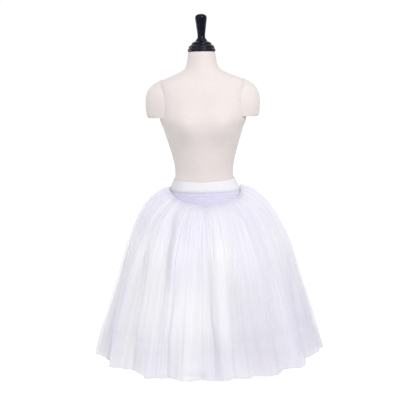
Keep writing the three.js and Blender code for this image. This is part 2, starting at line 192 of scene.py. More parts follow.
def net_material(name, cover, white, lilac, sheer):
    """Tulle: open hexagonal net, half see-through in one layer, denser where the threads bunch. Its colour also
    carries painted shade over the top, the lower front right and the lower front middle, and a painted paler patch of
    light left of centre.
    """
    t = Tree(name)
    uv = cloth_uv(t)
    cells = t.new("TexVoronoi", feature="DISTANCE_TO_EDGE")
    t.put(cells.inputs["Vector"], uv)
    cells.inputs["Scale"].default_value = 560.0
    cells.inputs["Randomness"].default_value = 0.25
    thread = t.remap(cells.outputs["Distance"], 0.06, 0.22, 1.0, 0.0)
    streak = t.noise(t.scaled(uv, (95.0, 1.4, 1.0)), 1.0, 3.0, 0.6)
    broad = t.noise(t.scaled(uv, (9.0, 2.2, 1.0)), 1.0, 2.0, 0.5)
    k = t.math("MULTIPLY_ADD", thread, 0.10, cover - 0.05)
    k = t.math("ADD", k, t.remap(streak, 0.3, 0.7, -0.035, 0.035))
    k = t.math("ADD", k, t.remap(broad, 0.3, 0.7, -0.05, 0.05))
    k = t.math("ADD", k, t.remap(t.split(uv)[1], -0.64, -0.53, 0.26, 0.0), clamp=True)
    tint = t.mix_colour(t.math("ADD", t.remap(broad, 0.32, 0.68, 0.0, 1.0), t.remap(streak, 0.25, 0.75, -0.15, 0.15), clamp=True),
                        (*white, 1), (*lilac, 1))
    x, y, _ = t.split(uv)
    edge = t.new("UVMap")
    edge.uv_map = "OFBake"
    round_, fall, _ = t.split(edge.outputs[0])
    deg = t.math("MULTIPLY", round_, 360.0)
    # painted shade: a lilac cast over the lower front right, centred near 307 degrees round the skirt, and over the
    # top of the skirt below the seam
    side = t.math("COSINE", t.math("MULTIPLY_ADD", x, 2 * math.pi / 2.0, -2 * math.pi * 307 / 360))
    shade = t.math("MULTIPLY", t.remap(side, 0.55, 1.0, 0.0, 0.55), t.remap(y, -0.26, -0.50, 0.0, 1.0))
    # painted shade: greyer over the lower front right, about 285 to 319 degrees round, growing down the cloth
    shade_low_right = t.math("MULTIPLY", t.remap(deg, 285.0, 292.0, 0.0, 1.0), t.remap(deg, 302.0, 319.0, 1.0, 0.0))
    shade_low_right = t.math("MULTIPLY", shade_low_right, t.remap(y, -0.27, -0.53, 0.1, 0.80))
    # painted shade: darker over the lower front middle, about 256 to 288 degrees round, and a little darker toward the
    # hem all round
    middle = t.math("MULTIPLY", t.remap(deg, 256.0, 268.0, 0.0, 1.0), t.remap(deg, 276.0, 288.0, 1.0, 0.0))
    middle = t.math("MULTIPLY_ADD", middle, t.remap(y, -0.47, -0.54, 0.0, 0.38), t.remap(y, -0.54, -0.63, 0.0, 0.16))
    shade = t.math("ADD", shade, t.remap(y, -0.13, -0.21, 0.22, 0.0), clamp=True)
    tint = t.mix_colour(shade, tint, (0.855, 0.838, 0.945, 1))
    tint = t.mix_colour(t.math("ADD", shade_low_right, middle, clamp=True), tint, (0.855, 0.842, 0.895, 1))
    # painted light: a paler patch left of centre, about 218 to 278 degrees round, partway down the cloth
    painted_light_left = t.math("MULTIPLY", t.remap(deg, 218.0, 232.0, 0.0, 1.0), t.remap(deg, 262.0, 278.0, 1.0, 0.0))
    painted_light_left = t.math("MULTIPLY", painted_light_left, t.math("MULTIPLY", t.remap(y, -0.28, -0.38, 0.0, 0.6), t.remap(y, -0.44, -0.54, 1.0, 0.0)))
    tint = t.mix_colour(painted_light_left, tint, (0.994, 0.988, 1.0, 1))
    tint = t.mix_colour(t.remap(fall, 0.0065, 0.0105, 0.8, 0.0), tint, (0.74, 0.72, 0.82, 1))
    face = t.new("BsdfPrincipled")
    t.put(face.inputs["Base Color"], tint)
    t.put(face.inputs["Roughness"], t.remap(streak, 0.2, 0.8, 0.62, 0.8))
    face.inputs["Specular IOR Level"].default_value = 0.25
    face.inputs["Sheen Weight"].default_value = 0.25
    face.inputs["Sheen Roughness"].default_value = 0.5
    t.put(face.inputs["Normal"], t.bump(thread, 0.12, 0.0002))
    through = t.new("BsdfTranslucent")
    t.put(through.inputs["Color"], tint)
    body = t.new("MixShader")
    body.inputs[0].default_value = sheer
    t.link(face.outputs[0], body.inputs[1])
    t.link(through.outputs[0], body.inputs[2])
    clear = t.new("BsdfTransparent")
    whole = t.new("MixShader")
    t.link(k, whole.inputs[0])
    t.link(clear.outputs[0], whole.inputs[1])
    t.link(body.outputs[0], whole.inputs[2])
    t.link(whole.outputs[0], t.out.inputs["Surface"])
    return t.mat


def elastic_material():
    t = Tree("elastic")
    uv = cloth_uv(t)
    x, y, _ = t.split(uv)
    rib = t.math("SINE", t.math("MULTIPLY", y, 2 * math.pi / 0.0033))
    knit = t.math("SINE", t.math("MULTIPLY", x, 2 * math.pi / 0.0011))
    cover = t.math("MULTIPLY_ADD", rib, 0.35, t.math("MULTIPLY", knit, 0.12))
    soft = t.noise(t.scaled(uv, (60, 200, 1)), 1.0, 3.0)
    tone = t.math("ADD", t.remap(rib, -1, 1, 0.0, 0.75), t.remap(soft, 0.3, 0.7, -0.1, 0.25), clamp=True)
    p = t.new("BsdfPrincipled")
    cloth = t.mix_colour(tone, (0.605, 0.60, 0.64, 1), (0.715, 0.709, 0.735, 1))
    # painted shade: greyer over the left front of the band, about 180 to 236 degrees round, where the band turns from
    # the light
    seam = t.math("MULTIPLY", t.remap(x, 0.335, 0.365, 0.0, 0.75), t.remap(x, 0.395, 0.440, 1.0, 0.0))
    t.put(p.inputs["Base Color"], t.mix_colour(seam, cloth, (0.52, 0.512, 0.555, 1)))
    t.put(p.inputs["Roughness"], t.remap(soft, 0.2, 0.8, 0.55, 0.75))
    p.inputs["Specular IOR Level"].default_value = 0.3
    p.inputs["Sheen Weight"].default_value = 0.2
    t.put(p.inputs["Normal"], t.bump(cover, 0.5, 0.0005))
    t.link(p.outputs[0], t.out.inputs["Surface"])
    return t.mat


def yoke_material():
    t = Tree("yoke_mesh")
    uv = cloth_uv(t)
    x, y, _ = t.split(uv)
    line = t.math("SINE", t.math("MULTIPLY", y, 2 * math.pi / 0.0094))
    knit = t.math("SINE", t.math("MULTIPLY", x, 2 * math.pi / 0.0016))
    soft = t.noise(t.scaled(uv, (25, 160, 1)), 1.0, 3.0)
    tone = t.math("ADD", t.remap(line, -1, 1, 0.42, 0.56), t.remap(soft, 0.3, 0.7, -0.25, 0.25))
    # painted light: each yoke lighter toward its end at the larger angle, which on the front is right of centre
    tone = t.math("ADD", tone, t.remap(x, 0.21, 0.29, 0.0, 0.35))
    # painted shade: darker in the strip just below the waistband, where the band shadows the yoke
    tone = t.math("SUBTRACT", tone, t.remap(y, -0.049, -0.043, 0.0, 0.45), clamp=True)
    p = t.new("BsdfPrincipled")
    t.put(p.inputs["Base Color"], t.mix_colour(tone, (0.434, 0.419, 0.550, 1), (0.570, 0.555, 0.684, 1)))
    t.put(p.inputs["Roughness"], t.remap(soft, 0.2, 0.8, 0.5, 0.7))
    p.inputs["Sheen Weight"].default_value = 0.25
    height = t.math("MULTIPLY_ADD", line, 0.5, t.math("MULTIPLY", knit, 0.25))
    t.put(p.inputs["Normal"], t.bump(height, 0.4, 0.0004))
    t.link(p.outputs[0], t.out.inputs["Surface"])
    return t.mat


def form_material():
    t = Tree("form_cloth")
    co = t.new("TexCoord").outputs["Object"]
    x, y, z = t.split(co)
    warp = t.math("SINE", t.math("MULTIPLY", z, 2 * math.pi / 0.0016))
    weft = t.math("SINE", t.math("MULTIPLY", t.math("ADD", x, y), 2 * math.pi / 0.0018))
    slub = t.noise(t.scaled(co, (40, 40, 420)), 1.0, 3.0, 0.6)
    cloud = t.noise(co, 6.0, 3.0, 0.5)
    tone = t.math("ADD", t.remap(slub, 0.3, 0.7, 0.25, 0.75), t.remap(cloud, 0.3, 0.7, -0.2, 0.2), clamp=True)
    p = t.new("BsdfPrincipled")
    t.put(p.inputs["Base Color"], t.mix_colour(tone, (0.576, 0.521, 0.510, 1), (0.637, 0.587, 0.579, 1)))
    t.put(p.inputs["Roughness"], t.remap(slub, 0.2, 0.8, 0.75, 0.92))
    p.inputs["Specular IOR Level"].default_value = 0.25
    p.inputs["Sheen Weight"].default_value = 0.35
    p.inputs["Sheen Roughness"].default_value = 0.45
    height = t.math("MULTIPLY_ADD", t.math("MULTIPLY", warp, weft), 0.5, t.math("MULTIPLY", slub, 0.6))
    t.put(p.inputs["Normal"], t.bump(height, 0.35, 0.0004))
    t.link(p.outputs[0], t.out.inputs["Surface"])
    return t.mat


def gloss_material():
    t = Tree("turned_cap")
    co = t.new("TexCoord").outputs["Object"]
    ring = t.noise(t.scaled(co, (3, 3, 260)), 1.0, 2.0)
    dust = t.noise(co, 70.0, 4.0, 0.7)
    p = t.new("BsdfPrincipled")
    t.put(p.inputs["Base Color"], t.mix_colour(t.remap(dust, 0.4, 0.75, 0, 1), (0.003, 0.003, 0.009, 1), (0.009, 0.009, 0.021, 1)))
    t.put(p.inputs["Roughness"], t.remap(dust, 0.3, 0.8, 0.12, 0.26))
    z = t.split(co)[2]
    t.put(p.inputs["Coat Weight"], t.remap(z, 1.130, 1.150, 0.20, 0.06))
    p.inputs["Specular IOR Level"].default_value = 0.10
    p.inputs["Coat Roughness"].default_value = 0.2
    t.put(p.inputs["Normal"], t.bump(ring, 0.12, 0.0004))
    t.link(p.outputs[0], t.out.inputs["Surface"])
    return t.mat


def paint_material():
    t = Tree("stand_paint")
    co = t.new("TexCoord").outputs["Object"]
    orange = t.noise(co, 420.0, 2.0)
    wear = t.noise(co, 18.0, 4.0, 0.6)
    p = t.new("BsdfPrincipled")
    t.put(p.inputs["Base Color"], t.mix_colour(t.remap(wear, 0.35, 0.7, 0, 1), (0.80, 0.80, 0.79, 1), (0.86, 0.86, 0.85, 1)))
    t.put(p.inputs["Roughness"], t.remap(wear, 0.3, 0.7, 0.35, 0.5))
    t.put(p.inputs["Normal"], t.bump(orange, 0.1, 0.0003))
    t.link(p.outputs[0], t.out.inputs["Surface"])
    return t.mat


def floor_material():
    t = Tree("floor")
    co = t.new("TexCoord").outputs["Object"]
    p = t.new("BsdfPrincipled")
    t.put(p.inputs["Base Color"], t.mix_colour(t.noise(co, 3.0, 2.0), (0.60, 0.60, 0.60, 1), (0.63, 0.63, 0.63, 1)))
    p.inputs["Roughness"].default_value = 0.9
    p.inputs["Specular IOR Level"].default_value = 0.2
    p.inputs["Emission Color"].default_value = (1, 1, 1, 1)
    t.put(p.inputs["Emission Strength"], t.math("MULTIPLY", t.new("LightPath").outputs["Is Camera Ray"], 0.80))
    t.link(p.outputs[0], t.out.inputs["Surface"])
    return t.mat


# ------------------------------------------------------------------ mesh helpers
def make_object(name, points, faces, material, uv=None, bake=None, smooth=True):
    """points (n,3), faces (m,3|4), uv and bake: (corners, 2) per face corner."""
    mesh = bpy.data.meshes.new(name)
    mesh.from_pydata(points.tolist() if hasattr(points, "tolist") else points, [],
                     faces.tolist() if hasattr(faces, "tolist") else faces)
    for layer, values in (("cloth", uv), ("OFBake", bake)):
        if values is not None:
            mesh.uv_layers.new(name=layer).data.foreach_set("uv", np.asarray(values, np.float32).ravel())
    mesh.polygons.foreach_set("use_smooth", [smooth] * len(mesh.polygons))
    mesh.materials.append(material)
    mesh.update()
    ob = bpy.data.objects.new(name, mesh)
    scene.collection.objects.link(ob)
    return ob


def grid_object(name, grid, material, closed, uv, flip=False):
    """grid (rows, columns, 3). closed joins the last column to the first. uv (rows, columns[+1], 2) in metres."""
    rows, cols = grid.shape[:2]
    span = cols if closed else cols - 1
    j, i = np.meshgrid(np.arange(rows - 1), np.arange(span), indexing="ij")
    i2 = (i + 1) % cols
    quads = np.stack([j * cols + i, (j + 1) * cols + i, (j + 1) * cols + i2, j * cols + i2], -1).reshape(-1, 4)
    corner = np.stack([np.stack([j, i], -1), np.stack([j + 1, i], -1),
                       np.stack([j + 1, i + 1], -1), np.stack([j, i + 1], -1)], 2).reshape(-1, 4, 2)
    if flip:
        quads, corner = quads[:, ::-1], corner[:, ::-1]
    flat = uv[corner[..., 0], corner[..., 1]].reshape(-1, 2)
    width, height = np.ptp(uv[..., 0]), np.ptp(uv[..., 1])
    low = uv.reshape(-1, 2).min(0)
    bake = 0.005 + 0.99 * (flat - low) / np.array([width, height])
    return make_object(name, grid.reshape(-1, 3), quads, material, flat, bake)


def thicken(ob, thickness, offset=1.0):
    m = ob.modifiers.new("wall", "SOLIDIFY")
    m.thickness = thickness
    m.offset = offset
    m.use_even_offset = True
    bpy.context.view_layer.objects.active = ob
    bpy.context.view_layer.update()
    dg = bpy.context.evaluated_depsgraph_get()
    new = bpy.data.meshes.new_from_object(ob.evaluated_get(dg))
    ob.modifiers.clear()
    ob.data = new
    return ob


def placed(ob, slot, *nodes):
    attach(ob, "root")
    if nodes:
        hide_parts(*nodes)
    return ob


# ------------------------------------------------------------------ the shared shape tables, millimetres
WAIST_Z = 570.0
SEAM_GAP, YOKE_WALL, NET_START = 0.4, 1.0, 2.0
SEAM_FRONT, SEAM_RISE, SEAM_POWER, SEAM_LEAN, SEAM_SOFT = 16.5, 33.5, 0.7, 0.1, 8.0
HEM_Z, HEM_HALF_WIDTH, HEM_HALF_DEPTH = -514.0, 413.0, 345.0
PUFF_FRONT, PUFF_SIDE, PUFF_FROM, PUFF_LEAN, PUFF_FULL, PUFF_CREST = 2.0, 30.0, 36.0, 16.0, 84.0, 6.0
SIDE_LEAN = 0.028

# share of length, share out, share down, share of puff, next layer in, next layer down,
# share of the body's narrowing that it follows, share of the crest
SECTION = np.array([
    (0.000, 0.0000, 0.000, 0.00, -1.0, 9.0, 0.00, 0.0), (0.030, 0.0080, 0.000, 0.75, -4.0, 9.0, 0.85, 0.0),
    (0.055, 0.0240, 0.000, 1.00, -2.5, 9.0, 1.20, 0.1), (0.085, 0.0640, 0.010, 1.06, 0.0, 9.0, 1.05, 0.9),
    (0.120, 0.1410, 0.029, 0.98, 3.5, 8.0, 0.60, 1.0), (0.170, 0.2450, 0.064, 0.80, 7.0, 6.5, 0.25, 0.3),
    (0.220, 0.3350, 0.104, 0.60, 9.5, 5.0, 0.05, 0.0), (0.310, 0.4410, 0.186, 0.40, 11.5, 3.0, 0, 0),
    (0.430, 0.5650, 0.308, 0.20, 13.0, 1.5, 0, 0), (0.620, 0.7060, 0.533, 0.10, 14.0, 0.5, 0, 0),
    (0.810, 0.8600, 0.761, 0.00, 15.0, 0.0, 0, 0), (1.000, 1.0000, 1.000, 0.00, 16.0, 0.0, 0, 0)])

# fold lines: degrees, out at the hem, start down the cloth, lift of the hem
FOLDS = np.array([
    (0, 0, 0.30, 0), (14, -22, 0.35, 3), (27, 0, 0.25, 5), (40, -26, 0.20, 3), (53, 2, 0.30, 4),
    (64, -20, 0.40, 1), (76, -2, 0.20, 0), (86, -22, 0.25, 2), (97, 0, 0.35, 0), (109, -26, 0.20, 5),
    (121, 0, 0.30, 3), (134, -22, 0.25, 1), (146, 1, 0.40, 6), (161, -24, 0.30, 2), (178, 0, 0.30, 0),
    (204, -42, 0.25, 6), (219, 1, 0.35, 9), (229, -30, 0.25, 9), (240, -3, 0.20, 6), (249, -20, 0.30, 4),
    (260, 0, 0.15, 0), (267, -18, 0.10, 1), (277, 2, 0.20, 0), (291, -16, 0.25, 2), (302, 2, 0.15, 1),
    (310, -17, 0.30, 3), (319, 5, 0.25, 2), (334, -38, 0.30, 4), (343, -18, 0.30, 5), (352, -8, 0.35, 2)], float)

# form sections: height, half width, half depth, shift back, squareness
FORM = np.array([
    (545, 47.5, 48, 14, 2.0), (531, 49, 50, 13, 2.0), (518, 51, 52, 12, 2.0), (504, 54, 55, 11, 2.0),
    (490, 61, 58, 10, 2.0), (476, 81, 61, 9, 2.0), (463, 112, 64, 8, 2.05), (449, 143, 67, 7, 2.3),
    (435, 150, 71, 5, 2.6), (421, 151, 76, 3, 2.8), (394, 151, 83, 1, 2.8), (366, 151, 89, 0, 2.7),
    (339, 151, 94, 0, 2.6), (311, 149.5, 97, 0, 2.5), (283, 139, 96, 0, 2.3), (255, 131, 93, 0, 2.2),
    (227, 123, 89, 0, 2.1), (199, 115, 85, 0, 2.05), (171, 108, 82, 0, 2.0), (142, 103, 79.5, 0, 2.0),
    (120, 103.0, 79, 0, 2.0), (100, 108.0, 80.5, 0, 2.0), (72, 122, 85, 0, 2.0), (45, 132, 91, 0, 2.0),
    (10, 141, 99, 0, 2.0), (-30, 148, 107, 0, 2.0), (-70, 151, 111, 0, 2.0), (-100, 150, 111, 0, 2.0),
    (-110, 145, 106, 0, 2.0)])
BUST = dict(x=68.0, z=290.0, wide=54.0, high=52.0, out=21.0)


def along(table, column, at):
    """The smooth curve through a table's rows, by its first column, at every value of at."""
    keys, vals = table[:, 0], table[:, column]
    if keys[-1] < keys[0]:
        keys, vals = keys[::-1], vals[::-1]
    n = len(keys)
    lo, hi = np.maximum(np.arange(n) - 1, 0), np.minimum(np.arange(n) + 1, n - 1)
    slope = (vals[hi] - vals[lo]) / (keys[hi] - keys[lo])
    at = np.asarray(at, float)
    i = np.clip(np.searchsorted(keys, at, side="left") - 1, 0, n - 2)
    h = keys[i + 1] - keys[i]
    k = np.clip((at - keys[i]) / h, 0, 1)
    k2, k3 = k * k, k * k * k
    return ((2 * k3 - 3 * k2 + 1) * vals[i] + (k3 - 2 * k2 + k) * h * slope[i]
            + (3 * k2 - 2 * k3) * vals[i + 1] + (k3 - k2) * h * slope[i + 1])


def smoothstep(x, a, b):
    k = np.clip((x - a) / (b - a), 0, 1)
    return k * k * (3 - 2 * k)


def from_centre(angle):
    return np.degrees(np.arccos(np.minimum(1, np.abs(np.sin(angle)))))


def seam_z(angle):
    away = np.hypot(from_centre(angle), SEAM_SOFT) - SEAM_SOFT
    return SEAM_FRONT + SEAM_RISE * (away / (90 - SEAM_SOFT)) ** (SEAM_POWER + SEAM_LEAN * np.cos(angle))


def band_top(angle):
    return 107 + (100 - 107) * np.sin(angle) ** 2


def band_bottom(angle):
    return 72 + (70 - 72) * np.sin(angle) ** 2


def body_point(angle, z, off):
    """A point on the form, off millimetres outside it. All broadcast."""
    angle, z, off = np.broadcast_arrays(np.asarray(angle, float), np.asarray(z, float), np.asarray(off, float))
    power = 2 / along(FORM, 4, z)
    c, s = np.cos(angle), np.sin(angle)
    x = np.sign(c) * np.abs(c) ** power * (along(FORM, 1, z) + off)
    y = np.sign(s) * np.abs(s) ** power * (along(FORM, 2, z) + off)
    for side in (-1, 1):
        y = y - np.where(s < 0, BUST["out"] * np.abs(s) * np.exp(
            -((x - side * BUST["x"]) / BUST["wide"]) ** 2 - ((z - BUST["z"]) / BUST["high"]) ** 2), 0)
    return np.stack([x, y + along(FORM, 3, z), WAIST_Z + z], -1)


def body_side(y, z):
    square = along(FORM, 4, z)
    share = np.minimum(np.abs(y - along(FORM, 3, z)) / along(FORM, 2, z), 1)
    return along(FORM, 1, z) * (1 - share ** square) ** (1 / square)


def fold_at(degrees, column):
    at = np.mod(degrees, 360.0)
    keys = np.append(FOLDS[:, 0], 360.0)
    vals = np.append(FOLDS[:, column], FOLDS[0, column])
    i = np.clip(np.searchsorted(keys, at, side="right") - 1, 0, len(keys) - 2)
    k = (at - keys[i]) / (keys[i + 1] - keys[i])
    return vals[i] + (vals[i + 1] - vals[i]) * (1 - np.cos(np.pi * k)) / 2


def net_surface(depth, hem, share, degrees, t):
    """Middle surface of a net layer, as in the CAD, before its gathers."""
    angle = np.radians(degrees)
    c, s = np.cos(angle), np.sin(angle)
    out, drop, puff, hug, crest = (along(SECTION, k, t) for k in (1, 2, 3, 6, 7))
    inward, down = depth * along(SECTION, 4, t), depth * along(SECTION, 5, t)
    top = seam_z(angle)
    rise = PUFF_FRONT + (PUFF_SIDE - PUFF_FRONT) * smoothstep(from_centre(angle), PUFF_FROM + PUFF_LEAN * c, PUFF_FULL)
    low = HEM_Z + hem + fold_at(degrees, 3)
    z = top + rise * puff + PUFF_CREST * crest * np.maximum(c, 0) - (top - low) * drop - down
    clear = SEAM_GAP + YOKE_WALL + NET_START
    seam = top - depth * SECTION[0, 5]
    wide, deep = along(FORM, 1, seam) + clear, along(FORM, 2, seam) + clear
    start = fold_at(degrees, 2) - 0.15
    ramp = smoothstep(t, start, 1.15)
    fold = fold_at(degrees, 1) * share * ramp
    lean = 1 + SIDE_LEAN * c * np.sin(np.pi * np.clip(out, 0, 1)) ** 1.5
    above = np.maximum(z, seam)
    a = (wide + (HEM_HALF_WIDTH - wide) * out) * lean + fold - inward - hug * (wide - clear - along(FORM, 1, above))
    b = (deep + (HEM_HALF_DEPTH - deep) * out) + fold - inward - hug * (deep - clear - along(FORM, 2, above))
    return np.stack([a * c, b * s, WAIST_Z + z], -1)


# ------------------------------------------------------------------ net layers
# creases placed on the front: degrees at top and bottom, from and to down the cloth,
# depth in mm (minus is a hollow), half width in degrees
CREASES = [
    (237, 246, 0.10, 0.64, -10.5, 3.6), (248, 248, 0.60, 1.04, -4.5, 3.0), (231, 231.5, 0.34, 0.98, 14, 5.0),
    (220, 214, 0.33, 0.68, 8, 2.2), (223, 224, 0.34, 0.62, -7, 2.4), (207, 207, 0.40, 1.00, 14, 6.5),
    (250, 250, 0.32, 1.00, 14, 5.0), (255, 251, 0.46, 1.06, 8, 2.2), (264, 260, 0.30, 0.95, 5, 2.2),
    (269, 270, 0.07, 0.38, -4.5, 1.6), (270, 272, 0.36, 1.08, -7.5, 3.0), (273, 273, 0.70, 1.08, -4, 2.0),
    (280, 277, 0.26, 0.98, 8, 5.0), (289, 291, 0.28, 0.60, -7, 2.6), (287, 288, 0.50, 1.08, -14, 3.6),
    (299, 309, 0.14, 0.80, 10, 3.2), (298, 295, 0.60, 1.08, -12, 2.8), (303, 301, 0.74, 1.08, -6, 2.0),
    (316, 319, 0.14, 0.86, -9, 3.0), (327, 330, 0.26, 0.92, -6, 4.0), (339, 335, 0.52, 1.02, -8, 2.4),
    (188, 194, 0.32, 0.68, -7, 3.0), (197, 195, 0.60, 1.08, -4, 3.0), (203, 202, 0.14, 0.60, 6, 3.2),
    (251, 255, 0.08, 0.30, -5, 1.6), (281, 287, 0.07, 0.26, -5, 1.6), (306, 314, 0.10, 0.40, -6, 2.4),
    (224, 220, 0.08, 0.34, -6, 2.4), (345, 347, 0.12, 0.60, 6, 3.4), (212, 207, 0.10, 0.30, -4, 1.8),
    # back and sides, alike
    (12, 10, 0.20, 0.85, -8, 3.6), (24, 27, 0.14, 0.75, 8, 3.6), (36, 38, 0.30, 1.05, -9, 3.4),
    (48, 44, 0.12, 0.60, 7, 3.0), (57, 60, 0.25, 1.05, -9, 3.0), (68, 66, 0.14, 0.70, 8, 3.4),
    (79, 83, 0.10, 0.50, -8, 2.6), (92, 90, 0.30, 1.05, 8, 3.2), (101, 104, 0.12, 0.65, -8, 2.8),
    (112, 110, 0.40, 1.05, 7, 3.4), (124, 127, 0.15, 0.80, -9, 3.2), (135, 131, 0.12, 0.62, 8, 3.6),
    (147, 150, 0.25, 1.05, -8, 3.4), (158, 155, 0.14, 0.72, 7, 3.6), (170, 172, 0.30, 0.95, -8, 3.6),
]


def wavy(rng, x, cycles, count):
    """A smooth wobble round the circle: count sines of whole numbers of cycles near cycles, about 1 high."""
    total = np.zeros_like(x)
    for _ in range(count):
        n = int(rng.integers(max(1, int(cycles * 0.55)), int(cycles * 1.5) + 1))
        total += rng.uniform(0.5, 1.0) * np.sin(np.radians(x * n) + rng.uniform(0, 2 * np.pi))
    return total / math.sqrt(count * 0.32)


GATHERS = 156


def net_layer(name, node, depth, hem, share, columns, rows, shift, seed, material, inset=0.0, creases=1.1):
    rng = np.random.default_rng(seed)
    common = np.random.default_rng(40)
    deg = np.arange(columns) * 360.0 / columns
    t = (np.arange(rows) / (rows - 1.0)) ** 1.25
    D, T = np.meshgrid(deg, t)

    # folds wander a little as they fall
    sway = (wavy(common, D, 7, 3) * 1.4 + wavy(common, D, 17, 3) * 0.8) * T ** 1.2
    face = net_surface(depth, hem, share, D, T)
    east = np.roll(face, -1, 1) - np.roll(face, 1, 1)
    south = np.gradient(face, axis=0)
    normal = np.cross(east, south)
    normal /= -np.linalg.norm(normal, axis=-1, keepdims=True)
    tangent = east / np.linalg.norm(east, axis=-1, keepdims=True)

    # middle folds, shared by every layer so that they nest
    middle = wavy(common, D + sway, 26, 7) * 2.6 + wavy(common, D + sway, 60, 7) * 1.2
    fade = wavy(common, D, 24, 4) * 0.16 + 0.22
    middle *= smoothstep(T, fade - 0.18, fade + 0.75)
    for top, low, first, last, size, half in CREASES:
        at = top + (low - top) * np.clip((T - first) / (last - first), 0, 1)
        gap = (D - at + 180) % 360 - 180
        reach = smoothstep(T, first - 0.08, first + 0.14) * (1 - smoothstep(T, last - 0.22, last + 0.04))
        middle += creases * size * reach * np.exp(-(gap / (1.15 * half)) ** 2)

    # thin folds, uneven in place, length and depth
    for _ in range(110):
        at, drift = common.uniform(0, 360), common.uniform(-3, 3)
        first, long = common.uniform(0.04, 0.62), common.uniform(0.2, 0.5)
        size, half = common.uniform(1.0, 2.6) * common.choice((-1, 1)), common.uniform(0.45, 1.0)
        gap = (D - at - drift * (T - first) / long + 180) % 360 - 180
        reach = smoothstep(T, first, first + 0.12) * (1 - smoothstep(T, first + long - 0.12, first + long))
        middle += size * reach * np.exp(-(gap / half) ** 2)

    # fine gathers: uneven in width, depth and start, shared so that the layers nest, with a little of each layer's own
    warp = wavy(common, D, 11, 4) * 1.1 + wavy(common, D, 29, 4) * 0.5 + wavy(rng, D, 17, 3) * 0.12
    phase = np.radians((D + warp) * GATHERS) + wavy(common, D, 50, 4) * 0.6 + shift
    uneven = 1 + 0.45 * wavy(common, D, 61, 5) + 0.2 * wavy(rng, D, 45, 4) + 0.4 * wavy(common, D, 9, 3) * T
    height = (0.62 - 0.22 * smoothstep(T, 0.1, 0.5) + 0.15 * T) * (1 + (uneven - 1) * smoothstep(T, 0.02, 0.3))
    fine = np.cos(phase) * height
    second = np.cos(phase * 0.5 + wavy(common, D, 31, 3)) * (0.3 + 0.4 * T) * (1 + 0.4 * wavy(rng, D, 19, 3))
    side = -np.sin(2 * phase) * height * 0.4
    edge = smoothstep(T, 0.0, 0.06)
    offset = (fine + second) * (0.35 + 0.65 * edge) + middle - inset * smoothstep(T, 0.05, 0.5)
    grid = face + normal * offset[..., None] + tangent * (side * (0.3 + 0.7 * edge))[..., None]

    # an uneven raw hem: long waves, small steps where widths of net join
    ragged = 5.0 + wavy(rng, deg, 9, 3) * 1.2 + wavy(rng, deg, 46, 5) * 0.8 + wavy(rng, deg, 160, 5) * 0.4
    for at, size in HEM_STEPS.get(node, ()):
        gap = (deg - at + 180) % 360 - 180
        ragged += size * (1 / (1 + np.exp(-gap / 0.35)) - 0.5) * np.exp(-(gap / 9.0) ** 2) * 2
    for at, size, half in HEM_LIFTS:
        gap = (deg - at + 180) % 360 - 180
        ragged -= size * np.exp(-(gap / half) ** 2)
    fall = south / np.linalg.norm(south, axis=-1, keepdims=True)
    grid += fall * (ragged[None, :] * smoothstep(T, 0.7, 1.0))[..., None]

    grid *= MM
    step = np.linalg.norm(np.diff(grid, axis=0), axis=-1).mean(1)
    v = np.concatenate([[0], np.cumsum(step)])
    across = np.linalg.norm(np.roll(grid, -1, 1) - grid, axis=-1)
    u = np.concatenate([[0], np.cumsum(across.mean(0))])
    uv = np.stack(np.broadcast_arrays(u[None, :], -v[:, None]), -1)
    ob = grid_object(name, grid, material, True, uv)
    placed(ob, "net", node)
    return ob


# where the hem of every layer is caught up a little: degrees, lift in mm, half width in degrees
HEM_LIFTS = [(258, 6, 5), (279, 8, 5), (221, 3, 4), (33, 5, 5), (77, 6, 5), (121, 5, 5), (160, 6, 5)]
# where a width of net ends lower than its neighbour: degrees, step in mm
HEM_STEPS = {
    "net_layer_1": [(214, 2), (238, 4), (263.5, -2.5), (280.5, -3), (291, -2.5), (308, -4), (40, 5), (88, -5), (131, 4), (168, -5)],
    "net_layer_2": [(222, -4), (246, 5), (258, -6), (270, 5), (286, -5), (303, -4), (317, 5), (60, -6), (110, 6), (150, -5)],
    "net_layer_3": [(219, 6), (256, -5), (285, 6), (330, -6), (20, 5), (75, -5), (140, 6)],
    "net_layer_4": [(240, 5), (300, -5), (100, 5)],
}

net_outer = net_material("net_outer", 0.62, (0.976, 0.977, 0.980), (0.914, 0.908, 0.981), 0.42)
net_inner = net_material("net_inner", 0.80, (0.966, 0.962, 0.985), (0.920, 0.911, 0.985), 0.42)
COLUMNS = 1440
ROWS = 46
# name, node, depth, rise of the hem, share of the folds, phase, seed, material, inset, cut width and length in metres
LAYERS = [
    ("net_outer_layer", "net_layer_1", 0, 0, 1.0, 0.0, 11, net_outer, 2.0, (2.6, 0.65)),
    ("net_second_layer", "net_layer_2", 1, 6, 0.95, 0.5, 12, net_outer, 0.5, (2.5, 0.63)),
    ("net_third_layer", "net_layer_3", 2, 11, 0.85, -0.4, 13, net_inner, -1.0, (2.4, 0.60)),
    ("net_inner_layer", "net_layer_4", 3, 18, 0.70, 0.8, 14, net_inner, -2.0, (2.3, 0.58)),
]
for name, node, depth, hem, share, shift, seed, material, inset, cut in LAYERS:
    ob = net_layer(name, node, depth, hem, share, COLUMNS, ROWS, shift, seed, material, inset)


# ------------------------------------------------------------------ yoke
def yoke(name, node, first, last):
    columns, rows = 150, 26
    k = np.linspace(0, 1, rows)[:, None]
    angle = np.radians(np.linspace(first + 0.18, last - 0.18, columns))[None, :]
    z = (band_bottom(angle) + 1.5) * (1 - k) + (seam_z(angle) - 30) * k
    grid = body_point(angle, z, SEAM_GAP + 0.15) * MM
    u = np.linspace(0, 0.36, columns)
    uv = np.stack(np.broadcast_arrays(u[None, :], (z - 110) * MM), -1)
    ob = grid_object(name, grid, yoke_mat, False, uv)
    thicken(ob, 0.0008, 1.0)
    placed(ob, "yoke_mesh", node)


yoke_mat = yoke_material()
yoke("yoke_front_mesh", "yoke_front", 180, 360)
yoke("yoke_back_mesh", "yoke_back", 0, 180)


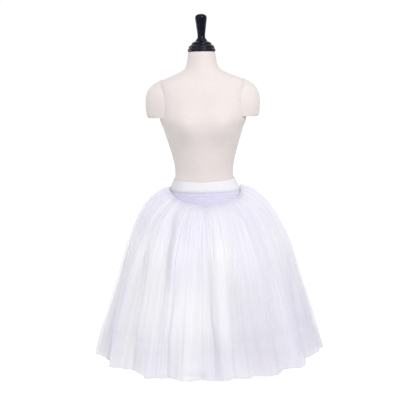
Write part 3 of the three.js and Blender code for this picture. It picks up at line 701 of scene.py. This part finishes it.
# ------------------------------------------------------------------ waistband
def waistband():
    columns, rows = 68 * 20, 26
    deg = np.arange(columns) * 360.0 / columns
    angle = np.radians(deg)[None, :]
    k = np.linspace(0, 1, rows)[:, None]
    loops = 68
    phase = angle * loops
    picot = 6.5 * np.abs(np.cos(phase / 2)) ** 0.9
    low = band_bottom(angle) - picot
    z = band_top(angle) * (1 - k) + low * k
    roll = 0.5 * (np.exp(-(k / 0.05) ** 2) + np.exp(-((1 - k) / 0.08) ** 2))
    rib = 0.22 * np.cos(2 * np.pi * k * 9)
    swell = 0.5 * np.sin(np.pi * k)
    tuck = 0.25 * np.sin(phase) * smoothstep(k, 0.75, 1.0)
    wave = 0.25 * np.sin(3 * angle + 1) + 0.2 * np.sin(11 * angle)
    off = SEAM_GAP + 1.1 + rib + swell - roll + tuck + wave * 0.6
    grid = body_point(angle, z, off) * MM
    u = np.linspace(0, 0.67, columns + 1)
    uv = np.stack(np.broadcast_arrays(u[None, :], -(k * 0.034)), -1)
    ob = grid_object("waist_elastic", grid, elastic_material(), True, uv)
    thicken(ob, 0.0011, 1.0)
    placed(ob, "elastic", "waistband")


waistband()


# ------------------------------------------------------------------ dress form
def form_torso():
    columns = 360
    z = np.concatenate([np.linspace(545, 420, 60), np.linspace(419, 250, 60)[1:], np.linspace(249, -100, 80)[1:],
                        [-104, -107, -109, -110]])
    deg = np.arange(columns) * 360.0 / columns
    angle = np.radians(deg)[None, :]
    off = np.zeros((len(z), columns))
    # seams down the back's centre and the sides
    for at in (90, 1, 179):
        gap = ((deg - at + 180) % 360 - 180)[None, :] * 2.2
        off -= 0.7 * np.exp(-(gap / 1.3) ** 2)
    off -= 0.6 * np.exp(-((z[:, None] - 541) / 1.2) ** 2)
    grid = body_point(angle, z[:, None], off - 0.3)
    points = grid.reshape(-1, 3)
    rows = len(z)
    j, i = np.meshgrid(np.arange(rows - 1), np.arange(columns), indexing="ij")
    i2 = (i + 1) % columns
    quads = np.stack([j * columns + i, (j + 1) * columns + i, (j + 1) * columns + i2, j * columns + i2], -1).reshape(-1, 4).tolist()
    top, low = len(points), len(points) + 1
    points = np.vstack([points, grid[0].mean(0), grid[-1].mean(0)]) * MM
    last = (rows - 1) * columns
    quads += [[top, k, (k + 1) % columns] for k in range(columns)]
    quads += [[low, last + (k + 1) % columns, last + k] for k in range(columns)]
    mesh = bpy.data.meshes.new("dress_form_torso")
    mesh.from_pydata(points.tolist(), [], quads)
    mesh.polygons.foreach_set("use_smooth", [True] * len(mesh.polygons))
    mesh.materials.append(form_mat)
    ob = bpy.data.objects.new("dress_form_torso", mesh)
    scene.collection.objects.link(ob)
    placed(ob, "form_cloth", "form_torso")


CAP = np.array([(322, 44.0, 57), (339, 46.0, 59), (366, 48.0, 60), (394, 46.0, 56), (408, 42.0, 51),
                (421, 36.0, 43), (435, 23.0, 31), (447, 9.0, 17), (452, 4.5, 9)], float)


def shoulder_cap(name, node, side):
    rows, columns = 60, 70
    z = np.linspace(322, 452, rows)[:, None]
    u = np.sin(np.linspace(-math.pi / 2, math.pi / 2, columns))[None, :]
    reach, swell = along(CAP, 2, z), along(CAP, 1, z)
    y = u * reach + along(FORM, 3, z)
    body = body_side(y, z)
    puff = 1.0 + (swell - 1.0) * np.maximum(0, 1 - np.abs(u) ** 2.6) ** 0.75
    foot = 1 - 0.10 * np.exp(-((z - 322) / 4.0) ** 2)
    outer = np.stack(np.broadcast_arrays(side * (body + 0.2 + puff * foot), y, WAIST_Z + z), -1)
    inner = np.stack(np.broadcast_arrays(side * (body + 0.1), y, WAIST_Z + z), -1)
    n = rows * columns
    points = np.vstack([outer.reshape(-1, 3), inner.reshape(-1, 3)]) * MM
    faces = []

    def at(s, j, i):
        return s * n + j * columns + i

    for j in range(rows - 1):
        for i in range(columns - 1):
            faces.append([at(0, j, i), at(0, j, i + 1), at(0, j + 1, i + 1), at(0, j + 1, i)])
            faces.append([at(1, j, i), at(1, j + 1, i), at(1, j + 1, i + 1), at(1, j, i + 1)])
    for i in range(columns - 1):
        faces.append([at(0, 0, i), at(1, 0, i), at(1, 0, i + 1), at(0, 0, i + 1)])
        faces.append([at(0, rows - 1, i), at(0, rows - 1, i + 1), at(1, rows - 1, i + 1), at(1, rows - 1, i)])
    for j in range(rows - 1):
        faces.append([at(0, j, 0), at(0, j + 1, 0), at(1, j + 1, 0), at(1, j, 0)])
        faces.append([at(0, j, columns - 1), at(1, j, columns - 1), at(1, j + 1, columns - 1), at(0, j + 1, columns - 1)])
    if side < 0:
        faces = [f[::-1] for f in faces]
    ob = make_object(name, points, faces, form_mat)
    b = ob.modifiers.new("round", "BEVEL")
    b.width, b.segments, b.angle_limit = 0.0025, 3, math.radians(50)
    placed(ob, "form_cloth", node)


def lathe(name, profile, axis_y, material, segments=120):
    r, z = np.array(profile, float).T
    ang = np.arange(segments) * 2 * np.pi / segments
    ring = np.stack([r[:, None] * np.cos(ang), r[:, None] * np.sin(ang) + axis_y, np.broadcast_to(z[:, None], (len(r), segments))], -1)
    inner = ring[1:-1]
    points = np.vstack([inner.reshape(-1, 3), [(0, axis_y, z[0])], [(0, axis_y, z[-1])]]) * MM
    rows = len(inner)
    faces = []
    for j in range(rows - 1):
        for i in range(segments):
            i2 = (i + 1) % segments
            faces.append([j * segments + i, j * segments + i2, (j + 1) * segments + i2, (j + 1) * segments + i])
    a, b, last = rows * segments, rows * segments + 1, (rows - 1) * segments
    for i in range(segments):
        i2 = (i + 1) % segments
        faces.append([a, i2, i])
        faces.append([b, last + i, last + i2])
    return make_object(name, points, faces, material)


def rounded(profile, steps=5, reach=0.35):
    """The profile with each corner cut to a small curve."""
    out = [profile[0]]
    for p, q, s in zip(profile, profile[1:], profile[2:]):
        p, q, s = map(np.array, (p, q, s))
        a = q + (p - q) * reach
        b = q + (s - q) * reach
        for k in np.linspace(0, 1, steps):
            out.append(tuple((1 - k) ** 2 * a + 2 * k * (1 - k) * q + k * k * b))
    out.append(profile[-1])
    return out


form_mat = form_material()
form_torso()
shoulder_cap("dress_form_cap_left", "shoulder_cap_left", 1)
shoulder_cap("dress_form_cap_right", "shoulder_cap_right", -1)

Z = WAIST_Z
cap_profile = [(0, 545.4), (43.5, 545.4), (47.4, 547.6), (48.7, 551.0), (48.4, 554.2), (46.0, 556.6), (44.4, 558.6),
               (45.0, 560.0), (44.8, 563.0), (42.6, 566.0), (38.6, 568.8), (35.4, 570.2), (34.6, 571.6), (35.0, 573.2),
               (33.8, 576.0), (29.0, 579.0), (23.4, 581.4), (20.2, 583.0), (19.8, 584.6), (19.4, 586.6), (16.6, 589.4),
               (14.2, 592.4), (13.1, 597.0), (13.3, 603), (14.2, 612), (15.8, 624), (17.4, 638), (18.7, 648), (19.9, 656),
               (20.4, 661), (20.1, 665), (18.4, 668.8), (15.0, 671.8), (10.5, 673.8), (5.0, 674.8), (0, 675)]
neck = lathe("neck_finial", rounded([(r, z + Z) for r, z in cap_profile], 4, 0.4), 14.0, gloss_material())
placed(neck, "turned_cap", "neck_cap")

under = WAIST_Z - 110 - SEAM_GAP
paint = paint_material()
flange = lathe("stand_flange_paint", rounded([(0, under - 20), (18, under - 20), (20, under - 12), (42, under - 5), (42, under), (0, under)], 4, 0.12), 0.0, paint)
placed(flange, "stand_paint", "stand_flange")
pole = lathe("stand_pole_paint", rounded([(0, 22.4), (13, 22.4), (13, under - 20.4), (0, under - 20.4)], 4, 0.004), 0.0, paint)
placed(pole, "stand_paint", "stand_pole")
foot = lathe("stand_foot_paint", rounded([(0, 0), (152, 0), (155, 3), (155, 7), (150, 10), (60, 14), (26, 18), (22, 22), (0, 22)], 4, 0.1), 0.0, paint)
placed(foot, "stand_paint", "stand_foot")

# ------------------------------------------------------------------ floor
bpy.ops.mesh.primitive_plane_add(size=30, location=(0, 0, -0.0006))
ground = bpy.context.object
ground.name = "floor"
ground.data.materials.append(floor_material())
